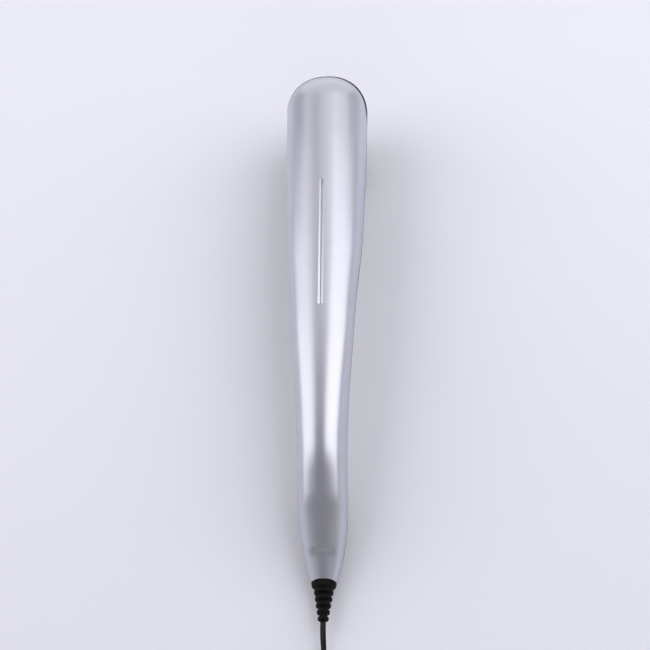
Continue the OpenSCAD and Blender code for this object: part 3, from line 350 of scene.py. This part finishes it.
def backPlaces():  # the rear shell's rows, closer together at the tail, the channel's ends and the tip
    near, far = channel["near"], channel["near"] + channel["length"]
    tailPitch, pitch, capPitch = 1.5, 2.2, 0.2
    rows = [k * tailPitch for k in range(0, 27)] + [40 + k * pitch for k in range(0, 64)]
    rows = [s for s in rows if s < near - 2]
    rows += [near + d for d in (-1.2, -0.6, -0.25, 0, 0.12, 0.25, 0.42, 0.8, 1.6)]
    rows += [near + 3 + k * pitch for k in range(0, 43)]
    rows = [s for s in rows if s < far - 3.2]
    rows += [far - 3.1 + k * capPitch for k in range(0, 18)] + [far + 0.8, far + 1.6]
    rows += [far + 3 + k * pitch for k in range(0, 40) if far + 3 + k * pitch < tipS - 1]
    return rows + [tipS] + tipPlaces(tipS, topEnd, 22)


def backRow(s):  # one row of the rear shell, from the right parting edge over the top to the left one
    start = partingAngle(s)
    edge = abs(section(s, start).x)
    c = closing(s)
    halfW = max(along(s, 1) * c, 1e-6)
    w, core = channelHalves(s)
    w = min(w, channel["mostOfEdge"] * edge)  # in the narrow ends the columns close up with the row
    core = min(core, channel["mostOfWidth"] * w)
    places = [core * f for f in channel["coreColumns"]]
    places += [mix(core * channel["coreColumns"][-1], w, f) for f in channel["wallColumns"]]
    places += [w * f for f in channel["rimColumns"]]
    pts = []
    fine = []
    for x in places:
        a = math.degrees(math.acos(min(1.0, (x / halfW) ** (housing["power"] / 2))))
        fine.append((x, a))
    rim = fine[-1][1]
    count = 24
    coarse = [mix(start, rim, k / count) for k in range(count)]
    right = [section(s, a) for a in coarse] + [section(s, a) for x, a in reversed(fine)]
    full = right + [Vector((-p.x, p.y, p.z)) for p in reversed(right[:-1])]
    for p in full:
        q = p.copy()
        q.z -= channelSink(p.x, s)
        pts.append(q)
    return pts


def loftGrid(name, rows):  # a grid primitive whose points are moved on to the rows
    deselectAll()
    across, count = len(rows[0]), len(rows)
    bpy.ops.mesh.primitive_grid_add(x_subdivisions=across - 1, y_subdivisions=count - 1, size=1)
    obj = bpy.context.object
    obj.name = name
    flat = [p * mm for row in rows for p in row]
    coords = [c for p in flat for c in p]
    obj.data.vertices.foreach_set("co", coords)
    obj.data.update()
    return obj


def rollLip(rows, depth):  # the free edges turn in a little, which leaves a fine groove between the shells
    out = []
    for row in rows:
        new = [p.copy() for p in row]
        closed = (row[0] - row[-1]).length < 0.01  # past the top of the tip the front shell has no edge
        for k, way in () if closed else ((0, 1), (-1, -1)):
            p, q = row[k], row[k + way]
            inside = Vector((0, p.y, along(min(tipS, p.y + housing["length"] / 2), 2))) - p
            if inside.length > 0.01:
                new[k] = p + inside.normalized() * depth + (q - p) * housing["lipLean"]
        out.append(new)
    return out


def addRearShell():
    rows = [backRow(s) for s in backPlaces()]
    rows = rollLip(rows, housing["lip"])
    obj = loftGrid("rearShell", rows)
    outward(obj)
    modify(obj, "SOLIDIFY", thickness=housing["wall"] * mm, offset=-1, use_even_offset=False)
    smooth(obj, 42)
    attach(obj, "root")
    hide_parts("rear_shell")
    return obj


rearShell = addRearShell()
print("rear shell:", len(rearShell.data.polygons), "faces")


def frontPlaces():
    tailPitch, pitch = 1.6, 2.6
    rows = [k * tailPitch for k in range(0, 25)]
    rows += [40 + k * pitch for k in range(0, 200) if 40 + k * pitch < tipS - 1]
    rows += [tipS] + tipPlaces(tipS, topEnd, 16)
    return rows + [mix(topEnd, housing["length"], t) for t in (0.25, 0.5, 0.7, 0.85, 0.95, 1)]


def frontRow(s):  # from the left parting edge under the handle to the right one
    start = partingAngle(s)
    count = 72
    return [section(s, mix(180 - start, 360 + start, k / count)) for k in range(count + 1)]


# strain relief: flange, five rings and the core between them
relief = {"start": -195, "z": 8.8, "neckR": 4.9, "wall": 2.4, "flangeR": 8.1, "flangeT": 2.6, "length": 26.3,
          "rings": 5, "pitch": 4.65, "ringT": 2.5, "firstR": 6.4, "taper": 0.69,
          "cores": [5.3, 4.2, 3.65, 3.05, 2.6]}

# underside: the neck, the raised seat of the key panel and the holes, each screw with its y, x and seat
underside = {
    "headY": 159, "neckZ": 19.2, "neckR": 17, "neckFlare": 4.5, "neckReach": 11, "neckTop": 34,
    "neckFloor": 2.4, "neckWall": 2.2, "hole": 9.0,
    "panelY": 5, "panelZ": 30.2544, "tilt": -0.0829292, "panelW": 20, "panelLen": 64, "edge": 2, "plinth": 1,
    "panelGap": 0.3, "keyRoom": (3, 12), "screwHole": 3.1, "screwDeep": 12, "reliefHole": 4.95,
    "screws": [(-137, 0, 11.566), (-57, 0, 30.2635), (63, 0, 31.3633), (117, 21.4, 36.7385),
               (117, -21.4, 36.7385)],
}


def addCutter(x, y, low, high, r, sides=48):
    bpy.ops.mesh.primitive_cylinder_add(radius=r * mm, depth=(high - low) * mm, vertices=sides,
                                        location=(x * mm, y * mm, (low + high) / 2 * mm))
    return settle(bpy.context.object)


def addStadium(w, l, low, high, fillet=0):
    deselectAll()
    bpy.ops.mesh.primitive_cylinder_add(radius=w / 2 * mm, depth=(high - low) * mm, vertices=64)
    obj = bpy.context.object
    for v in obj.data.vertices:
        v.co.y += math.copysign((l - w) / 2 * mm, v.co.y) if abs(v.co.y) > 1e-6 else 0
        v.co.z += (low + high) / 2 * mm
    tip = math.radians(underside["tilt"])
    for v in obj.data.vertices:
        y, z = v.co.y, v.co.z
        v.co.y = underside["panelY"] * mm + y * math.cos(tip) - z * math.sin(tip)
        v.co.z = underside["panelZ"] * mm + y * math.sin(tip) + z * math.cos(tip)
    if fillet:
        modify(obj, "BEVEL", width=fillet * mm, segments=4, limit_method="ANGLE",
               angle_limit=math.radians(60))
    return obj


def boolean(obj, tool, operation):
    modify(obj, "BOOLEAN", operation=operation, solver="EXACT", object=tool)
    bpy.data.objects.remove(tool, do_unlink=True)
    return obj


def spun(name, profile, centre, axis="Z", steps=96):  # profile of (radius, height) spun round an axis
    deselectAll()
    bpy.ops.mesh.primitive_plane_add(size=0.001)
    obj = bpy.context.object
    obj.name = name
    mesh = bmesh.new()
    verts = [mesh.verts.new((r * mm, 0, h * mm)) for r, h in profile]
    for a, b in zip(verts, verts[1:]):
        mesh.edges.new((a, b))
    mesh.to_mesh(obj.data)
    mesh.free()
    pick(obj)
    bpy.ops.object.mode_set(mode="EDIT")
    bpy.ops.mesh.select_all(action="SELECT")
    bpy.ops.mesh.spin(steps=steps, angle=2 * math.pi, center=(0, 0, 0), axis=(0, 0, 1))
    bpy.ops.object.mode_set(mode="OBJECT")
    outward(obj, 0.000004)
    for v in obj.data.vertices:
        x, y, z = v.co
        v.co = Vector((x, y, z)) if axis == "Z" else Vector((x, -z, y))
        v.co += Vector(centre) * mm
    if axis != "Z":
        outward(obj, 0.000004)
    return obj


def neckProfile(inset):
    u = underside
    return [(u["neckR"] - inset + u["neckFlare"] * (k / 12) ** 2,
             mix(u["neckZ"] + 0.8, u["neckZ"] + u["neckReach"], k / 12)) for k in range(13)]


def addFrontShell():
    u = underside
    rows = rollLip([frontRow(s) for s in frontPlaces()], housing["lip"])
    obj = loftGrid("frontShell", rows)
    outward(obj)
    modify(obj, "SOLIDIFY", thickness=housing["wall"] * mm, offset=-1, use_even_offset=False)
    top = u["neckTop"]
    rim = [(0, u["neckZ"]), (u["neckR"] - 0.8, u["neckZ"]), (u["neckR"] - 0.25, u["neckZ"] + 0.25)]
    neck = spun("neck", rim + neckProfile(0) + [(u["neckR"] + u["neckFlare"] + 0.6, top), (0, top)],
                (0, u["headY"], 0))
    boolean(obj, neck, "UNION")
    inner, floorZ = neckProfile(u["neckWall"])[3:], u["neckZ"] + u["neckFloor"]
    hollow = spun("hollow", [(0, floorZ), (inner[0][0] - 0.3, floorZ)] + inner
                  + [(u["neckR"] + u["neckFlare"] - 2, top + 4), (0, top + 4)], (0, u["headY"], 0))
    boolean(obj, hollow, "DIFFERENCE")
    boolean(obj, addCutter(0, u["headY"], u["neckZ"] - 2, u["neckZ"] + 4, u["hole"]), "DIFFERENCE")
    plinth = addStadium(u["panelW"] + 2 * u["edge"], u["panelLen"] + 2 * u["edge"], -u["plinth"], 3, 0.5)
    boolean(obj, plinth, "UNION")
    boolean(obj, addStadium(u["panelW"] + u["panelGap"], u["panelLen"] + u["panelGap"], -6, 0), "DIFFERENCE")
    across, lengthways = u["keyRoom"]
    boolean(obj, addStadium(u["panelW"] - across, u["panelLen"] - lengthways, -1, 6), "DIFFERENCE")
    for y, x, seat in u["screws"]:
        boolean(obj, addCutter(x, y, seat - u["screwDeep"], seat, u["screwHole"]), "DIFFERENCE")
    opening = addCutter(0, 0, -4, 4, u["reliefHole"])
    for v in opening.data.vertices:  # turned to lie along the lead
        v.co = Vector((v.co.x, v.co.z + relief["start"] * mm, v.co.y + relief["z"] * mm))
    boolean(obj, opening, "DIFFERENCE")
    smooth(obj, 38)
    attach(obj, "root")
    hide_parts("front_shell")
    return obj


frontShell = addFrontShell()
print("front shell:", len(frontShell.data.polygons), "faces")


def rounded(points, r, steps=4):  # profile with its corners rounded off
    out = [points[0]]
    for a, b, c in zip(points, points[1:], points[2:]):
        a, b, c = Vector(a), Vector(b), Vector(c)
        da, dc = (a - b), (c - b)
        cut = min(r, da.length * 0.45, dc.length * 0.45)
        p, q = b + da.normalized() * cut, b + dc.normalized() * cut
        for k in range(steps + 1):
            t = k / steps
            m = p * (1 - t) ** 2 + b * 2 * t * (1 - t) + q * t ** 2
            out.append((m.x, m.y))
    return out + [points[-1]]


def addStrainRelief():
    r = relief
    last = r["length"] - r["ringT"] / 2 - 0.1
    first = last - (r["rings"] - 1) * r["pitch"]
    points = [(0, -r["wall"] - 2), (r["neckR"] + 0.8, -r["wall"] - 2), (r["neckR"] + 0.8, -r["wall"] - 0.05),
              (r["neckR"], -r["wall"] - 0.05), (r["neckR"], 0.02), (r["flangeR"], 0.1),
              (r["flangeR"] - 0.1, r["flangeT"] - 0.5), (r["flangeR"] - 1, r["flangeT"])]
    for k in range(r["rings"]):
        d, ring, core = first + k * r["pitch"], r["firstR"] - r["taper"] * k, r["cores"][k]
        half = r["ringT"] / 2
        points += [(core, d - half - (1.2 if k == 0 else 0.9)), (core, d - half), (ring, d - half + 0.25),
                   (ring, d + half - 0.25), (r["cores"][min(k + 1, r["rings"] - 1)], d + half + 0.02)]
    points[-1] = (2.2, r["length"] - 0.1)
    points += [(0, r["length"] - 0.1)]
    obj = spun("strainRelief", rounded(points, 0.55), (0, r["start"], r["z"]), "Y", 72)
    smooth(obj, 50)
    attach(obj, "root")
    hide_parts("strain_relief")
    return obj


strainRelief = addStrainRelief()
print("strain relief spun")

# massage pad: a soft rubber cup with knobs over the core
pad = {"r": 24, "face": 2.5, "floor": 6, "lip": 12, "coreR": 21.6, "knobR": 4.5, "knobZ": 4, "ring": 14,
       "knobs": 8, "edgeR": 5}


def addPad():
    p = pad
    e = p["edgeR"]
    edge = [(p["r"] - e + e * math.cos(math.radians(a)), p["face"] + e + e * math.sin(math.radians(a)))
            for a in range(-84, 1, 6)]
    points = [(0, p["face"]), (p["r"] - e, p["face"])] + edge + [
        (p["r"], p["lip"] - 0.4), (p["r"] - 0.4, p["lip"]), (p["coreR"] + 0.05, p["lip"]),
        (p["coreR"] + 0.05, p["floor"]), (0, p["floor"])]
    obj = spun("massagePad", points, (0, underside["headY"], 0))
    spots = [(0, 0)] + [(p["ring"] * math.cos(2 * math.pi * k / p["knobs"]),
                         p["ring"] * math.sin(2 * math.pi * k / p["knobs"])) for k in range(p["knobs"])]
    for x, y in spots:
        deselectAll()
        place = (x * mm, (underside["headY"] + y) * mm, p["knobZ"] * mm)
        bpy.ops.mesh.primitive_uv_sphere_add(segments=40, ring_count=24, radius=p["knobR"] * mm,
                                             location=place)
        knob = settle(bpy.context.object)
        for v in knob.data.vertices:
            v.co.z = max(v.co.z, 0.0)
        bpy.ops.object.mode_set(mode="EDIT")
        bpy.ops.mesh.select_all(action="SELECT")
        bpy.ops.mesh.bisect(plane_co=(0, 0, (p["floor"] - 1.5) * mm), plane_no=(0, 0, 1), use_fill=True,
                            clear_outer=True)
        bpy.ops.object.mode_set(mode="OBJECT")
        boolean(obj, knob, "UNION")
    smooth(obj, 40)
    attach(obj, "hammer")
    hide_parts("massage_pad")
    return obj


massagePad = addPad()
print("massage pad made")


# finishes, one for each of the record's material slots
def addNode(tree, kind, settings=None, links=None):  # one node with its settings and links
    node = tree.nodes.new(kind)
    for name, value in (settings or {}).items():
        if isinstance(name, int) or name in node.inputs:
            node.inputs[name].default_value = value
        else:
            setattr(node, name, value)
    for name, socket in (links or {}).items():
        tree.links.new(socket, node.inputs[name])
    return node


# size is the grain's width in mm, stretch draws it out along an axis, and bump is its height in mm
# span is how far the roughness varies over the grain, and level lowers the reflection of a dull surface
cloudSize = 24  # grains across one soft patch of colour
finishes = {
    # aluminium flake lacquer over moulded ABS: satin, with a faint sparkle
    "silver_paint": {"name": "silverFlakeLacquer", "colour": "#C6C6D2", "second": "#CCCCD7", "metallic": 0.85,
                     "roughness": 0.34, "span": 0.05, "size": 0.5, "bump": 0.002},
    # spark-eroded mould texture leaves ABS matt with a fine grain
    "black_abs": {"name": "texturedBlackAbs", "colour": "#0D0D0F", "second": "#131315", "roughness": 0.5,
                  "span": 0.1, "size": 0.6, "bump": 0.02, "ior": 1.53, "level": 0.15},
    # bright zinc plating: pale, faintly blue, slightly uneven
    "zinc_steel": {"name": "zincPlatedSteel", "colour": "#B9BDC6", "second": "#CCCCC8", "metallic": 1,
                   "roughness": 0.32, "span": 0.15, "size": 1.6, "bump": 0.004},
    # centreless grinding leaves fine rings round a pin
    "ground_steel": {"name": "groundSteel", "colour": "#C8C9CC", "second": "#B8BABF", "metallic": 1,
                     "roughness": 0.2, "span": 0.1, "size": 0.5, "bump": 0.002, "stretch": (0.15, 1, 1)},
    # moulded rubber: dull and deep black
    "black_rubber": {"name": "mouldedRubber", "colour": "#09090A", "second": "#0F0F10", "roughness": 0.58,
                     "span": 0.12, "size": 1.4, "bump": 0.015, "ior": 1.52, "level": 0.1},
    # oil-filled sintered bronze shows its powder grains
    "sintered_bronze": {"name": "sinteredBronze", "colour": "#A9854A", "second": "#7F6236", "metallic": 1,
                        "roughness": 0.42, "span": 0.2, "size": 0.35, "bump": 0.01},
    # glass-filled nylon: grey with pale fibre streaks
    "grey_nylon": {"name": "glassFilledNylon", "colour": "#3A3A3E", "second": "#4A4A4E", "roughness": 0.45,
                   "span": 0.12, "size": 0.7, "bump": 0.01, "ior": 1.53, "stretch": (1, 0.25, 1)},
    # laminated iron of the rotor and dark ferrite magnets
    "motor_iron": {"name": "laminatedIron", "colour": "#57514C", "second": "#443F3C", "metallic": 0.9,
                   "roughness": 0.45, "span": 0.15, "size": 0.5, "bump": 0.03, "stretch": (0.1, 1, 0.1)},
    # die-cast aluminium: matt skin with soft flow marks
    "cast_aluminium": {"name": "dieCastAluminium", "colour": "#B4B6B9", "second": "#9EA0A4", "metallic": 1,
                       "roughness": 0.48, "span": 0.15, "size": 3, "bump": 0.02},
    # polished mould face: deep black with a clear gloss
    "gloss_black": {"name": "glossBlackAbs", "colour": "#0C0C0E", "second": "#101013", "roughness": 0.12,
                    "span": 0.05, "size": 2.5, "bump": 0.001, "ior": 1.53},
    # silver-grey key cap, lacquered and rubbed to satin
    "grey_button": {"name": "lacqueredKeyCap", "colour": "#A9ABB0", "second": "#B4B6BA", "metallic": 0.4,
                    "roughness": 0.36, "span": 0.06, "size": 0.5, "bump": 0.002, "ior": 1.5},
    # charcoal key cap, moulded through
    "dark_button": {"name": "charcoalKeyCap", "colour": "#333338", "second": "#3B3B40", "roughness": 0.4,
                    "span": 0.08, "size": 0.5, "bump": 0.006, "ior": 1.53},
    # clear acrylic light pipe, milky from its moulding
    "clear_lens": {"name": "clearAcrylic", "colour": "#DCE4EA", "second": "#E8EEF2", "roughness": 0.14,
                   "span": 0.05, "size": 1, "bump": 0.001, "ior": 1.49, "transmission": 0.75},
    # green solder mask over glass laminate and copper tracks
    "green_laminate": {"name": "solderMaskLaminate", "colour": "#1C5A38", "second": "#2A7048",
                       "roughness": 0.3, "span": 0.1, "size": 0.8, "bump": 0.012, "ior": 1.55, "tracks": 2.54},
    # shrunk PVC sleeve round the capacitor's can
    "capacitor_sleeve": {"name": "shrunkPvcSleeve", "colour": "#20264A", "second": "#262D55",
                         "roughness": 0.25, "span": 0.06, "size": 1.2, "bump": 0.004, "ior": 1.53},
    # extruded PVC: satin, with fine lines drawn along the lead
    "black_cable": {"name": "extrudedPvc", "colour": "#0B0B0C", "second": "#111113", "roughness": 0.36,
                    "span": 0.08, "size": 0.5, "bump": 0.004, "ior": 1.53, "level": 0.25},
    # adapter case: polycarbonate with a coarser spark grain
    "adapter_plastic": {"name": "grainedPolycarbonate", "colour": "#18181A", "second": "#202022",
                        "roughness": 0.46, "span": 0.1, "size": 0.9, "bump": 0.03, "ior": 1.58},
}


def makeFinish(f):
    mat = bpy.data.materials.new(f["name"])
    mat.use_nodes = True
    tree = mat.node_tree
    surface = tree.nodes["Principled BSDF"]
    surface.inputs["Metallic"].default_value = f.get("metallic", 0)
    if "ior" in f:
        surface.inputs["IOR"].default_value = f["ior"]
        surface.inputs["Specular IOR Level"].default_value = f.get("level", 0.5)
    if "transmission" in f:
        surface.inputs["Transmission Weight"].default_value = f["transmission"]
    place = addNode(tree, "ShaderNodeTexCoord")
    spread = addNode(tree, "ShaderNodeMapping", {"Scale": f.get("stretch", (1, 1, 1))},
                     {"Vector": place.outputs["Object"]})
    grain = addNode(tree, "ShaderNodeTexNoise",
                    {"Scale": 1 / (f["size"] * mm), "Detail": 3, "Roughness": 0.55},
                    {"Vector": spread.outputs["Vector"]})
    cloud = addNode(tree, "ShaderNodeTexNoise", {"Scale": 1 / (f["size"] * cloudSize * mm), "Detail": 2},
                    {"Vector": place.outputs["Object"]})
    tone = addNode(tree, "ShaderNodeMix",
                   {"data_type": "RGBA", 6: linear(f["colour"]), 7: linear(f["second"])},
                   {0: cloud.outputs["Fac"]})
    colour = tone.outputs[2]
    if "tracks" in f:
        lines = addNode(tree, "ShaderNodeTexBrick",
                        {"Scale": 1 / (f["tracks"] * mm), "Mortar Size": 0.09, "Color1": (1, 1, 1, 1),
                         "Color2": (1, 1, 1, 1), "Mortar": (0, 0, 0, 1)}, {"Vector": place.outputs["Object"]})
        tracks = addNode(tree, "ShaderNodeMix", {"data_type": "RGBA", 7: linear("#123F27")},
                         {0: lines.outputs["Fac"], 6: colour})
        colour = tracks.outputs[2]
    tree.links.new(colour, surface.inputs["Base Color"])
    dull = addNode(tree, "ShaderNodeMapRange", {"To Min": f["roughness"] - f["span"] / 2,
                                                "To Max": f["roughness"] + f["span"] / 2},
                   {"Value": grain.outputs["Fac"]})
    tree.links.new(dull.outputs["Result"], surface.inputs["Roughness"])
    raised = addNode(tree, "ShaderNodeBump", {"Strength": 0.6, "Distance": f["bump"] * mm},
                     {"Height": grain.outputs["Fac"]})
    tree.links.new(raised.outputs["Normal"], surface.inputs["Normal"])
    return mat


materials = {slot: makeFinish(f) for slot, f in finishes.items()}
slotOf = {part["node"]: part["material_slot"] for part in frame["record"]["subparts"]}
for node, obj in frame["nodes"].items():
    if not obj.material_slots:
        obj.data.materials.append(None)
    for socket in obj.material_slots:
        socket.material = materials[slotOf[node]]
for obj, slot in ((rearShell, "silver_paint"), (frontShell, "black_abs"), (strainRelief, "black_rubber"),
                  (massagePad, "black_rubber"), (twinLead, "black_cable")):
    obj.data.materials.clear()
    obj.data.materials.append(materials[slot])
    for face in obj.data.polygons:
        face.material_index = 0
print("finishes made:", len(materials))

# studio: pale paper under the hammer, a wide soft light at each side, low ones before and behind it and
# a small one over the head, in a room that is brighter towards its walls
# a lamp has its place, its size across and along, and its power in watts
studio = {"floor": "#F1F1FB", "fibre": "#EFEFF9", "floorSize": 8, "floorZ": -0.0003, "floorRoughness": 0.9,
          "floorLevel": 0.2, "room": "#F6F6FC", "walls": 0.59, "ceiling": 0.17, "wallTop": (0.1, 0.35),
          "lamps": {"rightLight": {"place": (0.79, 0.212, 0.878), "size": (1.3, 1.0), "power": 7.64},
                    "leftLight": {"place": (-0.872, 0.185, 0.803), "size": (1.3, 1.0), "power": 6.62},
                    "backLight": {"place": (0, 1.088, 0.507), "size": (1.7, 1.0), "power": 4.0},
                    "frontLight": {"place": (0, -1.174, 0.25), "size": (1.1, 0.5), "power": 5.18},
                    "topLight": {"place": (0.11, 0.626, 1.018), "size": (0.6, 0.45), "power": 0.81}}}


def addStudio():
    deselectAll()
    bpy.ops.mesh.primitive_plane_add(size=studio["floorSize"], location=(0, 0, studio["floorZ"]))
    floor = bpy.context.object
    floor.name = "paperFloor"
    paper = bpy.data.materials.new("mattPaper")  # matt paper, with a trace of its fibre
    paper.use_nodes = True
    tree = paper.node_tree
    surface = tree.nodes["Principled BSDF"]
    surface.inputs["Roughness"].default_value = studio["floorRoughness"]
    surface.inputs["Specular IOR Level"].default_value = studio["floorLevel"]
    place = addNode(tree, "ShaderNodeTexCoord")
    fibre = addNode(tree, "ShaderNodeTexNoise", {"Scale": 6.0, "Detail": 2},
                    {"Vector": place.outputs["Object"]})
    tone = addNode(tree, "ShaderNodeMix",
                   {"data_type": "RGBA", 6: linear(studio["floor"]), 7: linear(studio["fibre"])},
                   {0: fibre.outputs["Fac"]})
    tree.links.new(tone.outputs[2], surface.inputs["Base Color"])
    floor.data.materials.append(paper)
    world = bpy.data.worlds.new("studioRoom")
    world.use_nodes = True
    tree = world.node_tree
    room = tree.nodes["Background"]
    room.inputs["Color"].default_value = linear(studio["room"])
    way = addNode(tree, "ShaderNodeTexCoord")
    height = addNode(tree, "ShaderNodeSeparateXYZ", {}, {"Vector": way.outputs["Generated"]})
    fade = addNode(tree, "ShaderNodeMapRange",
                   {"interpolation_type": "SMOOTHSTEP", "From Min": studio["wallTop"][0],
                    "From Max": studio["wallTop"][1], "To Min": studio["walls"], "To Max": studio["ceiling"]},
                   {"Value": height.outputs["Z"]})
    tree.links.new(fade.outputs["Result"], room.inputs["Strength"])
    scene.world = world
    for name, light in studio["lamps"].items():
        bpy.ops.object.light_add(type="AREA", location=light["place"])
        lamp = bpy.context.object
        lamp.name = name
        lamp.data.shape = "RECTANGLE"
        lamp.data.size, lamp.data.size_y = light["size"]
        lamp.data.energy = light["power"]
        away = Vector(light["place"]).normalized()  # its back, so that it shines at the hammer's middle
        length = (Vector((0, 1, 0)) - away * away.y).normalized()
        lamp.rotation_mode = "QUATERNION"
        turned = lamp.matrix_world.to_3x3()
        turned.col[0], turned.col[1], turned.col[2] = length.cross(away), length, away
        lamp.rotation_quaternion = turned.to_quaternion()
        lamp.visible_camera = False
    scene.view_settings.view_transform = "Standard"


addStudio()
print("studio lit")
